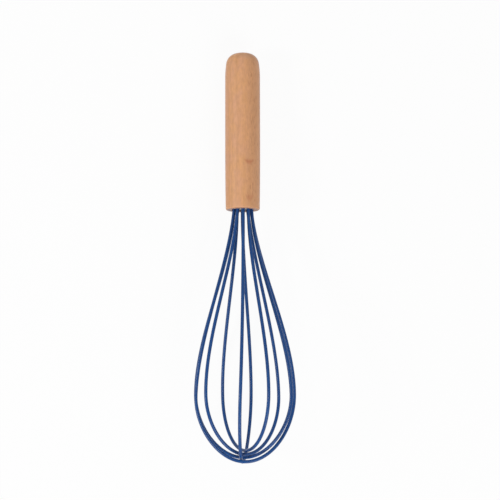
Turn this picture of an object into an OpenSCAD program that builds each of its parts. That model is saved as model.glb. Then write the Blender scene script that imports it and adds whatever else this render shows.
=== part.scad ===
// Balloon whisk with a turned beech handle and five silicone-coated wire loops.
// It lies on its side: the handle points along +Y, the cage along -Y, and z = 0 is the table.
// It is first built upright about its own axis, with the handle's mouth at z = 0, the handle
// above it and the cage below, and is then laid down on two neighbouring strands and its butt.

/* [Handle] */
// Length of the handle, mouth to butt
handle_len = 114.2; // [100:0.1:140]
// Diameter of the straight barrel
barrel_d = 25; // [22:0.5:30]
// Height above the mouth where the straight barrel starts
barrel_start = 46; // [30:1:60]
// Height above the mouth where the straight barrel ends
barrel_end = 96.2; // [80:0.1:100]
// How much the radius draws in from the barrel to the mouth
mouth_draw = 0.4; // [0:0.1:1.5]
// Radius of the rounded rim at the mouth
rim_r = 1; // [0.5:0.1:2]
// Radius of the long shoulder between the barrel and the corner
shoulder_r = 75; // [60:1:90]
// Radius of the tight corner at the edge of the butt
corner_r = 8; // [6:0.5:9.5]
// Radius of the shallow crown on the butt
crown_r = 22; // [20:1:28]

/* [Bore] */
// Diameter of the blind bore that holds the wire ends
bore_d = 15.4; // [14.5:0.1:17]
// Depth of the bore, without its drill point
bore_depth = 42; // [36:1:60]
// Depth of the cone left by the drill's point
drill_point = 2.5; // [1:0.5:4]
// Chamfer on the edge of the bore
bore_chamfer = 0.5; // [0.2:0.1:1]

/* [Wire] */
// Outer diameter of the silicone sleeve
sleeve_d = 2.3; // [1.8:0.05:2.35]
// Diameter of the spring steel wire inside it
wire_d = 1.2; // [0.8:0.1:1.4]
// Length of each wire end inside the bore
wire_grip = 36; // [30:1:36]
// Clearance of the sleeve in its groove and against the bore
wire_fit = 0.05; // [0.02:0.01:0.1]

/* [Plug] */
// How far the plug sits back from the mouth
plug_recess = 0.8; // [0.5:0.1:4]
// Length of the grooved plug
plug_len = 22; // [15:1:24]
// How far the plug's rim stands past the centres of the strands
plug_rim = 0.3; // [0.1:0.1:0.5]

/* [Cage] */
// Radius of the cage where it is widest, to the centres of the strands
belly_r = 34.6; // [31:0.1:36]
// Distance from the mouth to the widest place
belly_drop = 131.2; // [120:0.1:140]
// Sideways lean of the cage's widest place
belly_lean = 1.5; // [0:0.1:3]
// Length over which a strand holds its slope below the mouth
neck_reach = 41; // [30:1:50]
// Length over which a strand nears the widest place
belly_rise = 41; // [35:1:50]
// Length over which a strand leaves the widest place
belly_fall = 21.5; // [18:0.5:26]
// Length over which a strand turns under the nose
nose_reach = 19; // [14:0.5:22]

/* [Hidden] */
$fn = 96;

beech = "#d2a06f";
navy = "#26497f";
grey_plastic = "#a3a09b";
resin = "#d9c89a";
steel = "#b9bdc1";

barrel_r = barrel_d / 2;
bore_r = bore_d / 2;
sleeve_r = sleeve_d / 2;
wire_r = wire_d / 2;
strand_count = 10;
strand_step = 360 / strand_count;
ring_r = bore_r - sleeve_r - wire_fit;
through = 1;

// Each loop is one length of wire. The first loop is the outermost at the nose, the fifth the innermost.
// A loop has its two strands and its place at the nose: x, y and the distance from the mouth. A strand
// has its slot in the mouth, the slope at which it leaves it, the azimuth that it nears above the belly
// and its azimuth at the belly. Azimuth 0 is to the right and 90 is at the back.
first_slot = 20.5;
loops = [
    [[0, 0.11, 0, 0], [5, 0.1, 199, 182], [1.6, -8.4, 177.8]],
    [[2, 0.09, 83, 83], [7, 0.09, 267, 265], [-0.4, 5.2, 177.9]],
    [[4, 0.08, 176, 175.5], [9, 0.06, 334, 338], [0.7, -0.3, 174.9]],
    [[1, 0.19, 47, 46], [6, 0.12, 218, 219], [1.6, 4.1, 172.6]],
    [[3, 0.01, 120, 118], [8, -0.02, 298, 298], [1.9, 3, 170.2]]
];

// The handle's outline, as tangent arcs from the rim at the mouth to the crown of the butt
function arc(centre, r, from, to, steps) =
    [for (i = [1:steps]) let (a = from + (to - from) * i / steps) centre + r * [cos(a), sin(a)]];

function centre_between(p, rp, q, rq) =
    let (d = norm(q - p), along = (d * d + rp * rp - rq * rq) / (2 * d))
    let (across = sqrt(rp * rp - along * along), u = (q - p) / d)
    p + along * u + across * [-u[1], u[0]];

function bearing(from, to) = atan2(to[1] - from[1], to[0] - from[0]);

shoulder_centre = [barrel_r - shoulder_r, barrel_end];
crown_centre = [0, handle_len - crown_r];
corner_centre = centre_between(shoulder_centre, shoulder_r - corner_r, crown_centre, crown_r - corner_r);
shoulder_angle = bearing(shoulder_centre, corner_centre);
crown_angle = bearing(crown_centre, corner_centre);
mouth_r = barrel_r - mouth_draw;
draw_steps = 6;

function drawn_in(z) = barrel_r - mouth_draw * pow((barrel_start - z) / barrel_start, 2);

function handle_outline() = concat(
    [[0, 0], [mouth_r - rim_r, 0]],
    arc([mouth_r - rim_r, rim_r], rim_r, -90, 0, 6),
    [for (i = [1:draw_steps]) let (z = rim_r + (barrel_start - rim_r) * i / draw_steps) [drawn_in(z), z]],
    [[barrel_r, barrel_end]],
    arc(shoulder_centre, shoulder_r, 0, shoulder_angle, 8),
    arc(corner_centre, corner_r, shoulder_angle, crown_angle, 10),
    arc(crown_centre, crown_r, crown_angle, 90, 6)
);

// Centrelines of the strands, each half of a loop running from its end in the bore to the nose
function bezier(p, t) =
    pow(1 - t, 3) * p[0] + 3 * pow(1 - t, 2) * t * p[1] + 3 * (1 - t) * t * t * p[2] + pow(t, 3) * p[3];

function around(azimuth, r) = [r * cos(azimuth), r * sin(azimuth), 0];
function slot_azimuth(strand) = first_slot + strand_step * strand[0];
function belly_point(strand) = around(strand[3], belly_r) + [belly_lean, 0, -belly_drop];
function belly_entry(strand) = around(strand[2], belly_r) + [belly_lean, 0, belly_rise - belly_drop];
function belly_exit(strand) =
    let (belly = belly_point(strand)) belly + (belly - belly_entry(strand)) * belly_fall / belly_rise;
function nose_point(loop) = [loop[2][0], loop[2][1], -loop[2][2]];
function heading(loop) = let (d = belly_point(loop[0]) - belly_point(loop[1])) d / norm(d);

function neck_curve(strand) =
    let (slot = around(slot_azimuth(strand), ring_r))
    [slot,
     slot + around(slot_azimuth(strand), strand[1] * neck_reach) - [0, 0, neck_reach],
     belly_entry(strand),
     belly_point(strand)];

function nose_curve(loop, strand, side) =
    let (nose = nose_point(loop))
    [belly_point(strand), belly_exit(strand), nose + side * nose_reach * heading(loop), nose];

neck_steps = 9;
nose_steps = 11;

function half_loop(loop, strand, side) = concat(
    [around(slot_azimuth(strand), ring_r) + [0, 0, wire_grip]],
    [for (i = [0:neck_steps]) bezier(neck_curve(strand), i / neck_steps)],
    [for (i = [1:nose_steps - 1]) bezier(nose_curve(loop, strand, side), i / nose_steps)]
);

function reversed(list) = [for (i = [len(list) - 1:-1:0]) list[i]];

function centreline(loop) = concat(
    half_loop(loop, loop[0], 1),
    [nose_point(loop)],
    reversed(half_loop(loop, loop[1], -1))
);

lines = [for (loop = loops) centreline(loop)];

// The least gap between two sleeves, measured from the points of one line to the spans of the other
function to_span(p, a, b) =
    let (ab = b - a, t = max(0, min(1, (p - a) * ab / (ab * ab)))) norm(p - a - t * ab);

outside = [1:len(lines[0]) - 3];

function line_gap(one, other) =
    min([for (i = outside) min([for (j = outside) to_span(one[i], other[j], other[j + 1])])]) - sleeve_d;

function least_gap() =
    min([for (i = [0:len(lines) - 1]) for (j = [0:len(lines) - 1]) if (i != j) line_gap(lines[i], lines[j])]);

echo(least_gap_between_sleeves = least_gap());

// How the whisk lies: rolled onto the two lowest strands, then tilted until its butt touches down too
rest_strands = [loops[1][0], loops[4][0]];
rest_line = belly_point(rest_strands[0]) - belly_point(rest_strands[1]);
roll = atan2(rest_line[1], rest_line[0]);

function rolled(p) = [p[0] * cos(roll) + p[1] * sin(roll), p[1] * cos(roll) - p[0] * sin(roll), p[2]];
function laid(p) = let (q = rolled(p)) [q[0], q[2], -q[1]];
function tilted(p, tilt) =
    [p[0], p[1] * cos(tilt) + p[2] * sin(tilt), p[2] * cos(tilt) - p[1] * sin(tilt)];

laid_points = [for (line = lines) for (p = line) if (p[2] < 0) laid(p)];

function cage_low(tilt) = min([for (p = laid_points) tilted(p, tilt)[2]]) - sleeve_r;
function handle_low(tilt) = tilted([0, barrel_end, shoulder_r - barrel_r], tilt)[2] - shoulder_r;

// Halves the span between two tilts until the cage and the shoulder of the handle are equally low
function settle(low, high, rounds) =
    let (mid = (low + high) / 2)
    rounds == 0 ? mid
    : cage_low(mid) < handle_low(mid) ? settle(mid, high, rounds - 1)
    : settle(low, mid, rounds - 1);

rest_tilt = settle(0, 12, 16);
resting = [for (p = laid_points) tilted(p, rest_tilt)];
lift = -handle_low(rest_tilt);
side_shift = -(max([for (p = resting) p[0]]) + min([for (p = resting) p[0]])) / 2;
nose_y = min([for (p = resting) p[1]]) - sleeve_r;
butt_y = (handle_len - crown_r) * cos(rest_tilt) + crown_r;
length_shift = -(nose_y + butt_y) / 2;

echo(roll = roll, rest_tilt = rest_tilt, lift = lift, side_shift = side_shift, length_shift = length_shift);

module lie_down() {
    translate([side_shift, length_shift, lift])
        rotate([-rest_tilt, 0, 0])
            rotate([-90, 0, 0])
                rotate([0, 0, -roll])
                    children();
}

// Rings of points square to a line. The loop's own plane keeps them from twisting.
function tangent(line, i) =
    let (a = line[max(i - 1, 0)], b = line[min(i + 1, len(line) - 1)]) (b - a) / norm(b - a);

function ring(line, i, across, r, sides) =
    let (t = tangent(line, i), c = cross(across, t), u = c / norm(c), v = cross(t, u))
    [for (k = [0:sides - 1]) let (a = 360 * k / sides) line[i] + r * (u * cos(a) + v * sin(a))];

function skin(line, across, r, sides) =
    [for (i = [0:len(line) - 1]) each ring(line, i, across, r, sides)];

function band(first, count, sides, flip) =
    [for (i = [0:count - 2]) for (k = [0:sides - 1])
        let (a = first + i * sides + k, b = first + i * sides + (k + 1) % sides)
        for (face = [[a, a + sides, b], [b, a + sides, b + sides]])
            flip ? reversed(face) : face];

function end_ring(outer, inner, sides, flip) =
    [for (k = [0:sides - 1])
        let (m = (k + 1) % sides)
        for (face = [[outer + k, outer + m, inner + k], [outer + m, inner + m, inner + k]])
            flip ? reversed(face) : face];

tube_sides = 10;

function loop_across(loop) = cross(heading(loop), [0, 0, 1]);

module rod(line, across, r) {
    count = len(line);
    last = (count - 1) * tube_sides;
    polyhedron(
        points = skin(line, across, r, tube_sides),
        faces = concat(
            band(0, count, tube_sides, false),
            [[for (k = [0:tube_sides - 1]) k]],
            [[for (k = [tube_sides - 1:-1:0]) last + k]]
        ),
        convexity = 8
    );
}

module hose(line, across, outer_r, inner_r) {
    count = len(line);
    inner = count * tube_sides;
    last = (count - 1) * tube_sides;
    polyhedron(
        points = concat(skin(line, across, outer_r, tube_sides), skin(line, across, inner_r, tube_sides)),
        faces = concat(
            band(0, count, tube_sides, false),
            band(inner, count, tube_sides, true),
            end_ring(0, inner, tube_sides, false),
            end_ring(last, inner + last, tube_sides, true)
        ),
        convexity = 8
    );
}

// Turned beech handle with a blind bore
module handle() {
    color(beech) lie_down() difference() {
        rotate_extrude() polygon(handle_outline());
        translate([0, 0, -through]) cylinder(r = bore_r, h = bore_depth + through);
        translate([0, 0, bore_depth]) cylinder(r1 = bore_r, r2 = 0, h = drill_point);
        translate([0, 0, -through])
            cylinder(r1 = bore_r + bore_chamfer + through, r2 = bore_r, h = bore_chamfer + through);
    }
}

// Ten grooves in a round core, one for each strand
module grooved(from, to) {
    difference() {
        translate([0, 0, from]) cylinder(r = ring_r + plug_rim, h = to - from);
        for (i = [0:strand_count - 1])
            translate(around(first_slot + strand_step * i, ring_r) + [0, 0, from - through])
                cylinder(r = sleeve_r + wire_fit, h = to - from + 2 * through, $fn = 24);
    }
}

// Moulded plug that wedges the strands against the bore
module wire_plug() {
    color(grey_plastic) lie_down() grooved(plug_recess, plug_recess + plug_len);
}

// Set resin behind the plug, between the strands and over their ends
module glue_fill() {
    color(resin) lie_down() union() {
        grooved(plug_recess + plug_len, wire_grip + wire_fit);
        translate([0, 0, wire_grip + wire_fit])
            cylinder(r = bore_r - wire_fit, h = bore_depth - wire_grip - 2 * wire_fit);
    }
}

module sleeve(i) {
    color(navy) lie_down() hose(lines[i], loop_across(loops[i]), sleeve_r, wire_r + wire_fit / 2);
}

module core(i) {
    color(steel) lie_down() rod(lines[i], loop_across(loops[i]), wire_r);
}

handle();
wire_plug();
glue_fill();
sleeve(0);  // sleeve_1
sleeve(1);  // sleeve_2
sleeve(2);  // sleeve_3
sleeve(3);  // sleeve_4
sleeve(4);  // sleeve_5
core(0);  // core_1
core(1);  // core_2
core(2);  // core_3
core(3);  // core_4
core(4);  // core_5
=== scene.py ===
import math

import bmesh
import bpy
from mathutils import Matrix, Vector


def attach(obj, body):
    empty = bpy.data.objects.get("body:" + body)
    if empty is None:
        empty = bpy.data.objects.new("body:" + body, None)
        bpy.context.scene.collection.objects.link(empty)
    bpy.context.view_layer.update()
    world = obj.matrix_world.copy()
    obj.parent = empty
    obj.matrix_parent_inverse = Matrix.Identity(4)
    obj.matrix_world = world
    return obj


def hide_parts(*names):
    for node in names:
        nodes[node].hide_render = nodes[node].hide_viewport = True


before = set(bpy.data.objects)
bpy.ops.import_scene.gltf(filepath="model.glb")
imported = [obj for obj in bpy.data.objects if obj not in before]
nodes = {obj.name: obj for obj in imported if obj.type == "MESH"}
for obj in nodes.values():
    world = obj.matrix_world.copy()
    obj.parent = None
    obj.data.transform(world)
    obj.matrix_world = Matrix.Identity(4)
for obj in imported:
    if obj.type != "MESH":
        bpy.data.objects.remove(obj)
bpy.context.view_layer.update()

# How the whisk lies
# It is described upright, with the handle's mouth at the origin and the cage hanging down, and is then
# laid on its side as in the frame: rolled onto two strands and tilted until the butt touches down.
# Sizes are in millimetres, or in metres where MM is written beside them.
MM = 0.001
ROLL = math.radians(10.5)
REST_TILT = math.radians(5.42258)
SIDE_SHIFT = -1.37522 * MM
LENGTH_SHIFT = 32.4783 * MM
LIFT = 21.8707 * MM
lie_down = (
    Matrix.Translation((SIDE_SHIFT, LENGTH_SHIFT, LIFT))
    @ Matrix.Rotation(-REST_TILT, 4, "X")
    @ Matrix.Rotation(-math.pi / 2, 4, "X")
    @ Matrix.Rotation(-ROLL, 4, "Z")
)

# Camera
# A long lens a little over a metre above the whisk, over the side that faces up, and tipped so that the
# cage end comes slightly nearer than the butt and a little of the mouth's face shows.
PHOTO_SIDE = 500
FOCAL_PIXELS = 1643
SENSOR = 36.0
VIEW_DISTANCE = 1170 * MM
VIEW_PITCH = math.radians(7.36)
VIEW_TURN = math.radians(-0.1)
# Where the middle of the picture falls, from the mouth of the handle: to the right, and up the handle
VIEW_RIGHT = 5.17 * MM
VIEW_UP = -28.49 * MM
NEAREST_SEEN = 50 * MM
FARTHEST_SEEN = 20000 * MM

camera_data = bpy.data.cameras.new("camera")
camera_data.sensor_width = SENSOR
camera_data.lens = FOCAL_PIXELS * SENSOR / PHOTO_SIDE
camera_data.clip_start = NEAREST_SEEN
camera_data.clip_end = FARTHEST_SEEN
camera = bpy.data.objects.new("camera", camera_data)
bpy.context.scene.collection.objects.link(camera)
facing = Matrix.Rotation(math.pi / 2 + VIEW_PITCH, 4, "X") @ Matrix.Rotation(VIEW_TURN, 4, "Z")
camera.matrix_world = lie_down @ facing @ Matrix.Translation((VIEW_RIGHT, VIEW_UP, VIEW_DISTANCE))
bpy.context.scene.camera = camera

# Handle
# One piece of beech, turned on a lathe and sanded fine, with a domed butt. A blind bore is drilled into
# its mouth for the wires, and its edge is broken with a small chamfer.
HANDLE_LENGTH = 114.2
BARREL_RADIUS = 12.5
BARREL_START = 46
BARREL_END = 96.2
MOUTH_DRAW = 0.4
RIM_RADIUS = 1
SHOULDER_RADIUS = 75
CORNER_RADIUS = 8
CROWN_RADIUS = 22
BORE_RADIUS = 7.7
BORE_DEPTH = 42
DRILL_POINT = 2.5
BORE_CHAMFER = 0.5
# A ring this far above the chamfer keeps the bore's shading even
BORE_LIP = 1
# How finely each round stretch of the outline is divided, and then the full turn
RIM_STEPS = 8
FLARE_STEPS = 12
SHOULDER_STEPS = 12
CORNER_STEPS = 16
CROWN_STEPS = 8
TURNED_STEPS = 96
SHARP_EDGE = math.radians(30)
MERGE_DISTANCE = 0.002 * MM


def arc(centre, radius, start, end, steps):
    """Points on an arc in the outline's plane, after its first one, with angles in degrees."""
    angles = [math.radians(start + (end - start) * i / steps) for i in range(1, steps + 1)]
    return [(centre[0] + radius * math.cos(a), centre[1] + radius * math.sin(a)) for a in angles]


def bearing(start, end):
    """The direction from one point to another, in degrees."""
    return math.degrees(math.atan2(end[1] - start[1], end[0] - start[0]))


def corner_centre(shoulder, shoulder_reach, crown, crown_reach):
    """The centre of the corner's arc, from the centres of the arcs beside it and its distances to them."""
    gap = Vector(crown) - Vector(shoulder)
    along = (gap.length_squared + shoulder_reach**2 - crown_reach**2) / (2 * gap.length)
    across = math.sqrt(shoulder_reach**2 - along**2)
    u = gap.normalized()
    return Vector(shoulder) + along * u + across * Vector((-u[1], u[0]))


def handle_outline():
    """The turned outline from the drill's point, along the bore, round the rim and up to the crown."""
    shoulder = (BARREL_RADIUS - SHOULDER_RADIUS, BARREL_END)
    crown = (0, HANDLE_LENGTH - CROWN_RADIUS)
    corner = corner_centre(shoulder, SHOULDER_RADIUS - CORNER_RADIUS, crown, CROWN_RADIUS - CORNER_RADIUS)
    shoulder_end = bearing(shoulder, corner)
    corner_end = bearing(crown, corner)
    mouth = BARREL_RADIUS - MOUTH_DRAW
    points = [(0, BORE_DEPTH + DRILL_POINT), (BORE_RADIUS, BORE_DEPTH)]
    points += [(BORE_RADIUS, BORE_CHAMFER + BORE_LIP), (BORE_RADIUS, BORE_CHAMFER)]
    points += [(BORE_RADIUS + BORE_CHAMFER, 0), (mouth - RIM_RADIUS, 0)]
    points += arc((mouth - RIM_RADIUS, RIM_RADIUS), RIM_RADIUS, -90, 0, RIM_STEPS)
    for i in range(1, FLARE_STEPS + 1):
        z = RIM_RADIUS + (BARREL_START - RIM_RADIUS) * i / FLARE_STEPS
        points.append((BARREL_RADIUS - MOUTH_DRAW * ((BARREL_START - z) / BARREL_START) ** 2, z))
    points.append((BARREL_RADIUS, BARREL_END))
    points += arc(shoulder, SHOULDER_RADIUS, 0, shoulder_end, SHOULDER_STEPS)
    points += arc(corner, CORNER_RADIUS, shoulder_end, corner_end, CORNER_STEPS)
    points += arc(crown, CROWN_RADIUS, corner_end, 90, CROWN_STEPS)
    return points


def to_object(bm, name):
    """Turns a finished bmesh into an object at the origin, with smooth faces."""
    mesh = bpy.data.meshes.new(name)
    bm.to_mesh(mesh)
    bm.free()
    piece = bpy.data.objects.new(name, mesh)
    bpy.context.scene.collection.objects.link(piece)
    for face in mesh.polygons:
        face.use_smooth = True
    return piece


bm = bmesh.new()
outline = [bm.verts.new((r * MM, 0, z * MM)) for r, z in handle_outline()]
edges = [bm.edges.new(pair) for pair in zip(outline, outline[1:])]
bmesh.ops.spin(
    bm, geom=outline + edges, cent=(0, 0, 0), axis=(0, 0, 1), dvec=(0, 0, 0),
    angle=math.tau, steps=TURNED_STEPS, use_merge=True, use_duplicate=False,
)
bmesh.ops.remove_doubles(bm, verts=bm.verts, dist=MERGE_DISTANCE)
bmesh.ops.recalc_face_normals(bm, faces=bm.faces)
for edge in bm.edges:
    if len(edge.link_faces) == 2 and edge.calc_face_angle() > SHARP_EDGE:
        edge.smooth = False
bm.transform(lie_down)
handle = to_object(bm, "beech_handle")
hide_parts("handle")
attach(handle, "root")


def linear(code):
    """An sRGB hex colour as the linear RGBA that the shaders read."""
    parts = [int(code[i:i + 2], 16) / 255 for i in (1, 3, 5)]
    return tuple(c / 12.92 if c <= 0.04045 else ((c + 0.055) / 1.055) ** 2.4 for c in parts) + (1.0,)


def add(tree, kind, settings=None, **links):
    """Adds a node. Settings are its own properties. Links are values or sockets for its inputs, each given
    by its name, or by i and its number."""
    node = tree.nodes.new(kind)
    for key, value in (settings or {}).items():
        setattr(node, key, value)
    for key, value in links.items():
        socket = node.inputs[int(key[1:]) if key[1:].isdigit() else key.replace("_", " ")]
        if isinstance(value, bpy.types.NodeSocket):
            tree.links.new(value, socket)
        else:
            socket.default_value = value
    return node


def new_material(name):
    """An empty node material with its output node."""
    material = bpy.data.materials.new(name)
    material.use_nodes = True
    tree = material.node_tree
    tree.nodes.clear()
    return material, tree, tree.nodes.new("ShaderNodeOutputMaterial")


def dress(piece, material):
    """Gives a piece one material in all its slots."""
    piece.data.materials.clear()
    piece.data.materials.append(material)


# Beech, turned, sanded and lightly oiled: warm, pinkish brown and satin, with a fine nap that pales
# towards the edges. The growth layers are arcs round a pith that lies outside the blank, so they run as
# soft stripes along the barrel and show as curves on the butt. One side is darker: partly a darker layer
# of the wood, with the short brown flecks of the rays and two small reddish marks in it, and partly
# painted shade of the side away from the key light. The face of the mouth is end grain, which drinks
# more oil and is darker, and is darkened further with painted shade. Real pores are finer than the
# fibres here, which are as coarse as they need to be to show.
PINKER_WOOD = "#d19a74"
WARMER_WOOD = "#d39b6b"
# Partly the colour of a darker layer of wood and partly painted shade of the side away from the key light
DARK_LAYER_AND_SHADE_WOOD = "#c99369"
LATE_WOOD = "#bf895a"
RAY_WOOD = "#a06a42"
# Darker end grain with painted shade on the face of the mouth
END_GRAIN_AND_SHADE_WOOD = "#6e4a30"
REDDISH_WOOD = "#b06a48"
PITH = (-50, 30, 0)
LAYER_WIDTH = 2.4
LAYER_WANDER = 8
LATE_WOOD_SHARE = 0.28
DARK_SIDE_FROM = 2
DARK_SIDE_TO = 5
DARK_SIDE_WANDER = 6
FLECKS_ELSEWHERE = 0.12
FLECKS_MORE_ON_DARK_SIDE = 0.35
# Where the mouth's darker end grain and painted shade fade out above its face, and the most that shows
END_GRAIN_AND_SHADE_FROM = 0.05
END_GRAIN_AND_SHADE_TO = 0.2
END_GRAIN_AND_SHADE_SHARE = 0.45
FIBRE_CONTRAST = 0.22
MOTTLE_CONTRAST = 0.3
FIBRE_DEPTH = 0.03
# How wide each figure of the wood is, how long it is along the fibres, and its detail
FIBRES = (0.5, 8, 3)
MOTTLE = (1.8, 3.6, 3)
PATCHES = (5, 8, 2)
WANDER = (16, 50, 2)
FLECKS = (0.7, 4, 1)
# Each mark's middle to the right and above the mouth, half its width, its height and how strong it is
WOOD_MARKS = [(4.6, 32.8, 3.6, 1.8, 0.7), (4.8, 6.8, 3.0, 2.8, 0.4)]


def figure(tree, upright, across, along, detail):
    """Noise round 0.5 whose spots have a width and a length along the fibres, in millimetres."""
    drawn = add(tree, "ShaderNodeMapping", Vector=upright, Scale=(1, 1, across / along)).outputs[0]
    noise = add(tree, "ShaderNodeTexNoise", Vector=drawn, Scale=1 / (across * MM), Detail=detail)
    return noise.outputs["Fac"]


def dark_layer_and_shade(tree, upright, wander):
    """How much of the darker side shows, part wood layer and part painted shade, with a wandering edge."""
    sides = add(tree, "ShaderNodeSeparateXYZ", Vector=upright)
    edge = add(
        tree, "ShaderNodeMath", {"operation": "MULTIPLY_ADD"},
        i0=wander, i1=DARK_SIDE_WANDER * MM, i2=sides.outputs["X"],
    )
    middle = DARK_SIDE_WANDER / 2
    return add(
        tree, "ShaderNodeMapRange", {"interpolation_type": "SMOOTHSTEP"}, Value=edge.outputs[0],
        From_Min=(DARK_SIDE_FROM + middle) * MM, From_Max=(DARK_SIDE_TO + middle) * MM,
    ).outputs[0]


def growth_layers(tree, upright, wander):
    """How much late wood shows, in layers round the pith that wander a little."""
    pith = Vector(PITH) * MM
    from_pith = add(tree, "ShaderNodeVectorMath", {"operation": "SUBTRACT"}, i0=upright, i1=pith)
    flat = add(
        tree, "ShaderNodeVectorMath", {"operation": "MULTIPLY"}, i0=from_pith.outputs[0], i1=(1, 1, 0),
    )
    radius = add(tree, "ShaderNodeVectorMath", {"operation": "LENGTH"}, i0=flat.outputs[0]).outputs["Value"]
    bent = add(
        tree, "ShaderNodeMath", {"operation": "MULTIPLY_ADD"}, i0=wander, i1=LAYER_WANDER * MM, i2=radius,
    )
    layers = add(
        tree, "ShaderNodeTexNoise", {"noise_dimensions": "1D"},
        W=bent.outputs[0], Scale=1 / (LAYER_WIDTH * MM), Detail=2.0,
    )
    return add(
        tree, "ShaderNodeMapRange", {"interpolation_type": "SMOOTHSTEP"},
        Value=layers.outputs["Fac"], From_Min=0.42, From_Max=0.62, To_Max=LATE_WOOD_SHARE,
    ).outputs[0]


def ray_flecks(tree, upright, darker):
    """How much the flecks of the rays show, which is more on the darker side."""
    fleck = figure(tree, upright, *FLECKS)
    rays = add(
        tree, "ShaderNodeMapRange", {"interpolation_type": "SMOOTHSTEP"},
        Value=fleck, From_Min=0.56, From_Max=0.72,
    )
    shown = add(
        tree, "ShaderNodeMath", {"operation": "MULTIPLY_ADD"},
        i0=darker, i1=FLECKS_MORE_ON_DARK_SIDE, i2=FLECKS_ELSEWHERE,
    )
    return add(
        tree, "ShaderNodeMath", {"operation": "MULTIPLY"}, i0=rays.outputs[0], i1=shown.outputs[0],
    ).outputs[0]


def end_grain_and_shade(tree, upright):
    """How much darker end grain and painted shade show, only on the face of the mouth."""
    above = add(tree, "ShaderNodeSeparateXYZ", Vector=upright).outputs["Z"]
    return add(
        tree, "ShaderNodeMapRange", {"interpolation_type": "SMOOTHSTEP"}, Value=above,
        From_Min=END_GRAIN_AND_SHADE_FROM * MM, From_Max=END_GRAIN_AND_SHADE_TO * MM, To_Min=END_GRAIN_AND_SHADE_SHARE, To_Max=0.0,
    ).outputs[0]


def reddish_mark(tree, upright, right, above, half_width, height, strength):
    """A short shallow bow across the fibres, on the side that faces up."""
    centred = add(
        tree, "ShaderNodeMapping", Vector=upright, Location=(-right / half_width, 0, -above / height),
        Scale=(1 / (half_width * MM), 1 / MM, 1 / (height * MM)),
    )
    across = add(tree, "ShaderNodeSeparateXYZ", Vector=centred.outputs[0])
    square = add(tree, "ShaderNodeMath", {"operation": "POWER"}, i0=across.outputs["X"], i1=2.0)
    bow = add(
        tree, "ShaderNodeMath", {"operation": "MULTIPLY_ADD"},
        i0=square.outputs[0], i1=-1.0, i2=across.outputs["Z"],
    )
    off_bow = add(tree, "ShaderNodeMath", {"operation": "ABSOLUTE"}, i0=bow.outputs[0])
    far = add(tree, "ShaderNodeMath", {"operation": "ADD"}, i0=off_bow.outputs[0], i1=square.outputs[0])
    mark = add(
        tree, "ShaderNodeMapRange", {"interpolation_type": "SMOOTHSTEP"},
        Value=far.outputs[0], From_Min=0.0, From_Max=1.5, To_Min=strength, To_Max=0.0,
    )
    facing_up = add(tree, "ShaderNodeMath", {"operation": "LESS_THAN"}, i0=across.outputs["Y"], i1=0.0)
    return add(
        tree, "ShaderNodeMath", {"operation": "MULTIPLY"}, i0=mark.outputs[0], i1=facing_up.outputs[0],
    ).outputs[0]


def shade_of_fibres(tree, fibre, mottle):
    """Lighter and darker fibres and spots, round a mean of 1."""
    fibre_shade = add(
        tree, "ShaderNodeMath", {"operation": "MULTIPLY_ADD"},
        i0=fibre, i1=FIBRE_CONTRAST, i2=1 - (FIBRE_CONTRAST + MOTTLE_CONTRAST) / 2,
    )
    return add(
        tree, "ShaderNodeMath", {"operation": "MULTIPLY_ADD"},
        i0=mottle, i1=MOTTLE_CONTRAST, i2=fibre_shade.outputs[0],
    ).outputs[0]


def sanded_beech():
    material, tree, out = new_material("sanded_beech")
    place = add(tree, "ShaderNodeTexCoord").outputs["Object"]
    back = lie_down.inverted()
    upright = add(
        tree, "ShaderNodeMapping", Vector=place, Location=back.translation, Rotation=back.to_euler("XYZ"),
    ).outputs[0]
    fibre = figure(tree, upright, *FIBRES)
    mottle = figure(tree, upright, *MOTTLE)
    patch = figure(tree, upright, *PATCHES)
    wander = figure(tree, upright, *WANDER)

    # Pinker and warmer patches
    warmth = add(
        tree, "ShaderNodeMapRange", {"interpolation_type": "SMOOTHSTEP"},
        Value=patch, From_Min=0.3, From_Max=0.7,
    ).outputs[0]
    wood = add(
        tree, "ShaderNodeMix", {"data_type": "RGBA"},
        i0=warmth, i6=linear(PINKER_WOOD), i7=linear(WARMER_WOOD),
    ).outputs[2]

    # What lies over them, each with how much of it shows and its colour
    darker = dark_layer_and_shade(tree, upright, wander)
    overlays = [
        # The darker side: partly a darker layer of wood, partly painted shade
        (darker, DARK_LAYER_AND_SHADE_WOOD),
        (growth_layers(tree, upright, wander), LATE_WOOD),
        (ray_flecks(tree, upright, darker), RAY_WOOD),
        # The mouth's face: darker end grain with painted shade
        (end_grain_and_shade(tree, upright), END_GRAIN_AND_SHADE_WOOD),
    ]
    overlays += [(reddish_mark(tree, upright, *mark), REDDISH_WOOD) for mark in WOOD_MARKS]
    for share, colour in overlays:
        wood = add(
            tree, "ShaderNodeMix", {"data_type": "RGBA"}, i0=share, i6=wood, i7=linear(colour),
        ).outputs[2]
    shade = shade_of_fibres(tree, fibre, mottle)
    toned = add(tree, "ShaderNodeHueSaturation", Value=shade, Color=wood).outputs[0]

    # Satin finish with the fibres just raised
    rough = add(
        tree, "ShaderNodeMapRange", Value=fibre, From_Min=0.3, From_Max=0.7, To_Min=0.45, To_Max=0.6,
    ).outputs[0]
    bump = add(tree, "ShaderNodeBump", Strength=0.3, Distance=FIBRE_DEPTH * MM, Height=fibre)
    shader = add(
        tree, "ShaderNodeBsdfPrincipled", Base_Color=toned, Roughness=rough, IOR=1.5, Sheen_Weight=0.3,
        Sheen_Roughness=0.3, Sheen_Tint=linear("#a0c4f0"), Normal=bump.outputs[0],
    )
    tree.links.new(shader.outputs[0], out.inputs["Surface"])
    return material


dress(handle, sanded_beech())

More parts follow.
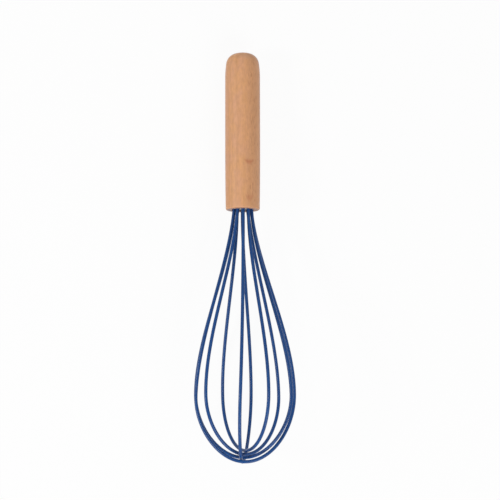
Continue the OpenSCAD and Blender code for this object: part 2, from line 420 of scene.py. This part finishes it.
# Wire loops
# Five lengths of spring steel wire in silicone sleeves. Their ends stand in the bore, wedged in the
# plug's ten grooves, and each loop springs out to the belly and turns under the nose, one loop inside
# the next. The sleeves fill the grooves, so they are 0.05 mm thicker in radius than their solids, and
# their paths keep within 0.4 mm of the solids' own, so that the steel stays inside them.
SLEEVE_RADIUS = 1.2
SLEEVE_SIDES = 24
SLEEVE_STEPS = 48
WIRE_GRIP = 36
RING_RADIUS = BORE_RADIUS - SLEEVE_RADIUS
FIRST_GROOVE = 20.5
GROOVE_STEP = 36
BELLY_DROP = 131.2
BELLY_LEAN = 1.5
NECK_REACH = 41
BELLY_RISE = 41
# For each loop, outermost first, its two strands and then its place at the nose: two steps sideways and
# the depth below the mouth. A strand has its groove, its slope out of the mouth, the azimuth that it
# nears above the belly, its azimuth and radius at the belly, how far it keeps falling below the belly
# and how far it runs level at the nose.
LOOPS = [
    ((0, 0.11, 0, 0, 34.6, 23, 19.2), (5, 0.1, 199, 182, 34.5, 22.2, 19), (1.6, -8.4, 177.8)),
    ((2, 0.09, 82.3, 83, 34.6, 21.5, 19), (7, 0.09, 267.4, 264.8, 34.6, 21.5, 19), (-0.4, 5.2, 178)),
    ((4, 0.06, 176, 175.5, 34.9, 21.5, 18.6), (9, 0.06, 334, 338, 34.6, 20.9, 18.6), (0.7, -0.3, 174.9)),
    ((1, 0.205, 47, 46, 34.6, 21.2, 18.6), (6, 0.12, 218, 219, 34.75, 21.5, 19), (1.6, 4.1, 172.6)),
    ((3, 0.01, 120, 118, 34.6, 21.5, 19), (8, 0, 298, 298, 34.6, 21.5, 19), (1.9, 3, 170.1)),
]


def around(azimuth, radius, height=0):
    """A point round the whisk's axis, with the azimuth in degrees."""
    a = math.radians(azimuth)
    return Vector((radius * math.cos(a), radius * math.sin(a), height))


def loop_knots(loop):
    """The loop's curve, as (place, handle before, handle after), from one end in the bore to the other."""
    *strands, (nose_x, nose_y, nose_depth) = loop
    nose = Vector((nose_x, nose_y, -nose_depth))
    third = Vector((0, 0, WIRE_GRIP / 3))
    lean = Vector((BELLY_LEAN, 0, 0))
    halves = []
    bellies = []
    levels = []
    for groove, slope, entry_azimuth, belly_azimuth, belly_radius, fall, level in strands:
        azimuth = FIRST_GROOVE + GROOVE_STEP * groove
        mouth = around(azimuth, RING_RADIUS)
        end = around(azimuth, RING_RADIUS, WIRE_GRIP)
        reach = mouth + around(azimuth, slope * NECK_REACH, -NECK_REACH)
        belly = around(belly_azimuth, belly_radius, -BELLY_DROP) + lean
        entry = around(entry_azimuth, belly_radius, BELLY_RISE - BELLY_DROP) + lean
        leave = belly + (belly - entry) * fall / BELLY_RISE
        half = [(end, end + third, end - third), (mouth, mouth + third, reach), (belly, entry, leave)]
        halves.append(half)
        bellies.append(belly)
        levels.append(level)
    heading = (bellies[0] - bellies[1]).normalized()
    before = nose + levels[0] * heading
    after = nose - levels[1] * heading
    far = [(place, behind, ahead) for place, ahead, behind in reversed(halves[1])]
    return halves[0] + [(nose, before, after)] + far


def tube(name, knots, radius, sides, steps):
    """A round tube along a Bezier curve, made a mesh in its place. A bevel of n has 2 * n + 4 sides."""
    curve = bpy.data.curves.new(name, "CURVE")
    curve.dimensions = "3D"
    curve.resolution_u = steps
    curve.bevel_depth = radius * MM
    curve.bevel_resolution = sides // 2 - 2
    curve.use_fill_caps = True
    spline = curve.splines.new("BEZIER")
    spline.bezier_points.add(len(knots) - 1)
    for point, (place, before, after) in zip(spline.bezier_points, knots):
        point.handle_left_type = "FREE"
        point.handle_right_type = "FREE"
        point.co = place * MM
        point.handle_left = before * MM
        point.handle_right = after * MM
    source = bpy.data.objects.new(name + "_path", curve)
    bpy.context.scene.collection.objects.link(source)
    bpy.context.view_layer.update()
    bm = bmesh.new()
    bm.from_mesh(source.to_mesh())
    source.to_mesh_clear()
    bpy.data.objects.remove(source)
    bmesh.ops.remove_doubles(bm, verts=bm.verts, dist=MERGE_DISTANCE)
    bmesh.ops.recalc_face_normals(bm, faces=bm.faces)
    bm.transform(lie_down)
    return to_object(bm, name)


# Silicone rubber, moulded round the wire: deep navy and satin, with an orange peel that softens the
# highlights. The real peel is finer, and is drawn as coarse as it needs to be to do so here.
PEEL_GRAIN = 0.4
PEEL_DEPTH = 0.03
TINT_DRIFT = 8


def moulded_silicone():
    material, tree, out = new_material("moulded_silicone")
    place = add(tree, "ShaderNodeTexCoord").outputs["Object"]
    peel = add(tree, "ShaderNodeTexNoise", Vector=place, Scale=1 / (PEEL_GRAIN * MM), Detail=2.0)
    shade = add(tree, "ShaderNodeTexNoise", Vector=place, Scale=1 / (TINT_DRIFT * MM), Detail=2.0)
    colour = add(tree, "ShaderNodeValToRGB", Fac=shade.outputs["Fac"])
    colour.color_ramp.elements[0].position = 0.3
    colour.color_ramp.elements[1].position = 0.7
    colour.color_ramp.elements[0].color = linear("#0c3d78")
    colour.color_ramp.elements[1].color = linear("#114681")
    bump = add(tree, "ShaderNodeBump", Strength=0.1, Distance=PEEL_DEPTH * MM, Height=peel.outputs["Fac"])
    shader = add(
        tree, "ShaderNodeBsdfPrincipled", Base_Color=colour.outputs["Color"], Roughness=0.3,
        IOR=1.42, Specular_IOR_Level=0.37, Normal=bump.outputs[0],
    )
    tree.links.new(shader.outputs[0], out.inputs["Surface"])
    return material


silicone = moulded_silicone()
for number, loop in enumerate(LOOPS, start=1):
    name = "silicone_loop_%d" % number
    sleeve = tube(name, loop_knots(loop), SLEEVE_RADIUS, SLEEVE_SIDES, SLEEVE_STEPS)
    dress(sleeve, silicone)
    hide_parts("sleeve_%d" % number)
    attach(sleeve, "root")

# Plug
# A short moulded core with a groove for each strand, pushed in between them to wedge them against the
# bore. It is light grey plastic, matt and finely grained from its mould.
GRAIN_DEPTH = 0.04
PLUG_GRAIN = 0.7


def plain_plastic(name, code, roughness, grain):
    """Plastic of one colour, with bumps as wide as the grain in millimetres."""
    material, tree, out = new_material(name)
    place = add(tree, "ShaderNodeTexCoord").outputs["Object"]
    texture = add(tree, "ShaderNodeTexNoise", Vector=place, Scale=1 / (grain * MM), Detail=3.0)
    bump = add(
        tree, "ShaderNodeBump", Strength=0.3, Distance=GRAIN_DEPTH * MM, Height=texture.outputs["Fac"],
    )
    shader = add(
        tree, "ShaderNodeBsdfPrincipled", Base_Color=linear(code), Roughness=roughness,
        IOR=1.5, Normal=bump.outputs[0],
    )
    tree.links.new(shader.outputs[0], out.inputs["Surface"])
    return material


dress(nodes["wire_plug"], plain_plastic("moulded_grey_plastic", "#a3a09b", 0.6, PLUG_GRAIN))

# Resin
# The wire ends are set in casting resin at the bottom of the bore, out of sight. It is pale amber and
# set with a smooth, slightly wavy face.
RESIN_WAVE = 5

dress(nodes["glue_fill"], plain_plastic("cast_resin", "#d9c89a", 0.3, RESIN_WAVE))

# Steel cores
# Spring steel wire inside the sleeves, out of sight. It is drawn through dies, which leave it bright
# with a faint texture.
DRAWN_GRAIN = 0.3
DRAWN_DEPTH = 0.02


def drawn_steel():
    material, tree, out = new_material("drawn_spring_steel")
    place = add(tree, "ShaderNodeTexCoord").outputs["Object"]
    texture = add(tree, "ShaderNodeTexNoise", Vector=place, Scale=1 / (DRAWN_GRAIN * MM), Detail=2.0)
    bump = add(
        tree, "ShaderNodeBump", Strength=0.2, Distance=DRAWN_DEPTH * MM, Height=texture.outputs["Fac"],
    )
    shader = add(
        tree, "ShaderNodeBsdfPrincipled", Base_Color=linear("#b9bdc1"), Metallic=1.0,
        Roughness=0.3, Normal=bump.outputs[0],
    )
    tree.links.new(shader.outputs[0], out.inputs["Surface"])
    return material


steel = drawn_steel()
for number in range(1, len(LOOPS) + 1):
    dress(nodes["core_%d" % number], steel)

# Floor and light
# A white sheet under the whisk and a white room all round. A small soft lamp up to the left is the key,
# a large one beyond the cage end fills, and one beyond the butt lights the rim of the dome.
FLOOR_HALF = 3000 * MM
FLOOR_GLOW = 0.93
ROOM_LIGHT = 0.4
ROOM_SEEN = 0.955


def seen_rays(tree):
    """1 where the ray comes from the camera or from something shiny or clear, and 0 for the plain light."""
    path = add(tree, "ShaderNodeLightPath")
    shiny_or_clear = add(
        tree, "ShaderNodeMath", {"operation": "MAXIMUM"},
        i0=path.outputs["Is Glossy Ray"], i1=path.outputs["Is Transmission Ray"],
    )
    return add(
        tree, "ShaderNodeMath", {"operation": "MAXIMUM"},
        i0=path.outputs["Is Camera Ray"], i1=shiny_or_clear.outputs[0],
    ).outputs[0]


def white_sheet():
    material, tree, out = new_material("white_sheet")
    share = add(
        tree, "ShaderNodeMath", {"operation": "MULTIPLY"}, i0=seen_rays(tree), i1=FLOOR_GLOW,
    ).outputs[0]
    paper = add(tree, "ShaderNodeBsdfDiffuse", Color=linear("#e6e6e6"))
    glow = add(tree, "ShaderNodeEmission", Color=linear("#ffffff"), Strength=1.0)
    mix = add(tree, "ShaderNodeMixShader", i0=share, i1=paper.outputs[0], i2=glow.outputs[0])
    tree.links.new(mix.outputs[0], out.inputs["Surface"])
    return material


bm = bmesh.new()
bmesh.ops.create_grid(bm, x_segments=1, y_segments=1, size=FLOOR_HALF)
floor = to_object(bm, "floor")
dress(floor, white_sheet())


def soft_light(name, place, target, size, power):
    """A square area light, in metres and watts, that points at a target and isn't seen itself."""
    data = bpy.data.lights.new(name, "AREA")
    data.size = size
    data.energy = power
    light = bpy.data.objects.new(name, data)
    light.location = place
    light.rotation_euler = (Vector(target) - Vector(place)).to_track_quat("-Z", "Y").to_euler()
    light.visible_camera = False
    bpy.context.scene.collection.objects.link(light)


soft_light("key", (-1.2, -0.15, 0.8), (0, 0, 0.02), 0.3, 8.6)
soft_light("fill", (0.5, -1.3, 1.15), (0, 0, 0.02), 1.2, 19)
soft_light("rim", (0.4, 1.5, 0.55), (0, 0.1, 0.02), 0.7, 4.2)

world = bpy.data.worlds.new("white_room")
bpy.context.scene.world = world
world.use_nodes = True
tree = world.node_tree
tree.nodes.clear()
plain = add(tree, "ShaderNodeBackground", Color=linear("#ffffff"), Strength=ROOM_LIGHT)
seen = add(tree, "ShaderNodeBackground", Color=linear("#ffffff"), Strength=ROOM_SEEN)
mix = add(tree, "ShaderNodeMixShader", i0=seen_rays(tree), i1=plain.outputs[0], i2=seen.outputs[0])
tree.links.new(mix.outputs[0], add(tree, "ShaderNodeOutputWorld").inputs["Surface"])
bpy.context.scene.view_settings.view_transform = "Standard"
